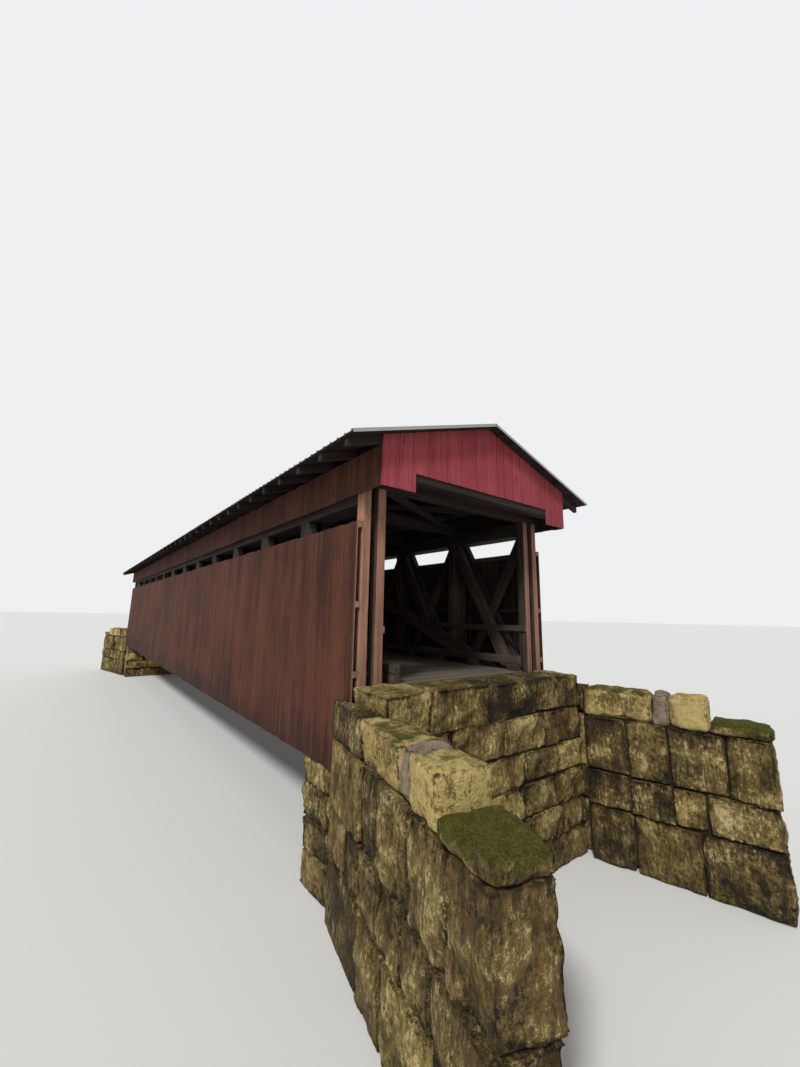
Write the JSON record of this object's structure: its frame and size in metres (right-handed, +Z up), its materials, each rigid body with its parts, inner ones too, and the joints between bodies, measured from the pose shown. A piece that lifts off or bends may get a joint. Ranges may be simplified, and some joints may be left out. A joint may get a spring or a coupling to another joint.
{
  "type": "covered bridge",
  "caption": "Timber covered bridge: boarded truss sides with an open light band, inner arches, plank floor, metal gable roof, red gables, and rough stone abutments with flared wing walls",
  "frame": {"origin": "at the foot of the stonework, under the centre of the bridge", "axes": "+Z up; +Y along the road, away from the near portal; +X to the right as seen from the near portal"},
  "size_m": [7.3472, 39.0472, 8.3159],
  "materials": {
    "rough_stone": "rough split sandstone blocks with moss and dark joints",
    "truss_timber": "old rough-sawn timber, unpainted",
    "portal_timber": "worn timber with thin faded red stain",
    "arch_timber": "rough-sawn laminated boards, unpainted",
    "roof_timber": "dusty grey-brown rough-sawn timber",
    "weathered_siding": "weathered brown-red stained vertical boards",
    "red_gable_boards": "faded barn-red painted vertical boards",
    "deck_planks": "worn grey planks",
    "roof_metal": "dull grey ribbed metal sheets"
  },
  "bodies": {
    "root": {"near_abutment": "rough_stone", "far_abutment": "rough_stone", "near_left_wing_wall": "rough_stone", "near_right_wing_wall": "rough_stone", "far_left_wing_wall": "rough_stone", "far_right_wing_wall": "rough_stone", "bed_timbers": "truss_timber", "left_lower_chord": "truss_timber", "right_lower_chord": "truss_timber", "left_upper_chord": "truss_timber", "right_upper_chord": "truss_timber", "left_portal_posts": "portal_timber", "right_portal_posts": "portal_timber", "left_truss_posts": "truss_timber", "right_truss_posts": "truss_timber", "left_main_braces": "truss_timber", "right_main_braces": "truss_timber", "left_counter_braces": "truss_timber", "right_counter_braces": "truss_timber", "left_arch": "arch_timber", "right_arch": "arch_timber", "left_girts": "truss_timber", "right_girts": "truss_timber", "left_siding": "weathered_siding", "right_siding": "weathered_siding", "left_upper_siding": "weathered_siding", "right_upper_siding": "weathered_siding", "floor_beams": "truss_timber", "stringers": "truss_timber", "deck": "deck_planks", "guard_blocks": "truss_timber", "wheel_guards": "truss_timber", "plank_rails": "portal_timber", "tie_beams": "roof_timber", "lower_lateral_braces": "roof_timber", "upper_lateral_braces": "roof_timber", "left_wall_plate": "roof_timber", "right_wall_plate": "roof_timber", "left_rafters": "roof_timber", "right_rafters": "roof_timber", "ridge_board": "roof_timber", "left_roof": "roof_metal", "right_roof": "roof_metal", "ridge_cap": "roof_metal", "near_gable": "red_gable_boards", "far_gable": "red_gable_boards", "near_gable_beam": "roof_timber", "far_gable_beam": "roof_timber"}
  },
  "joints": []
}
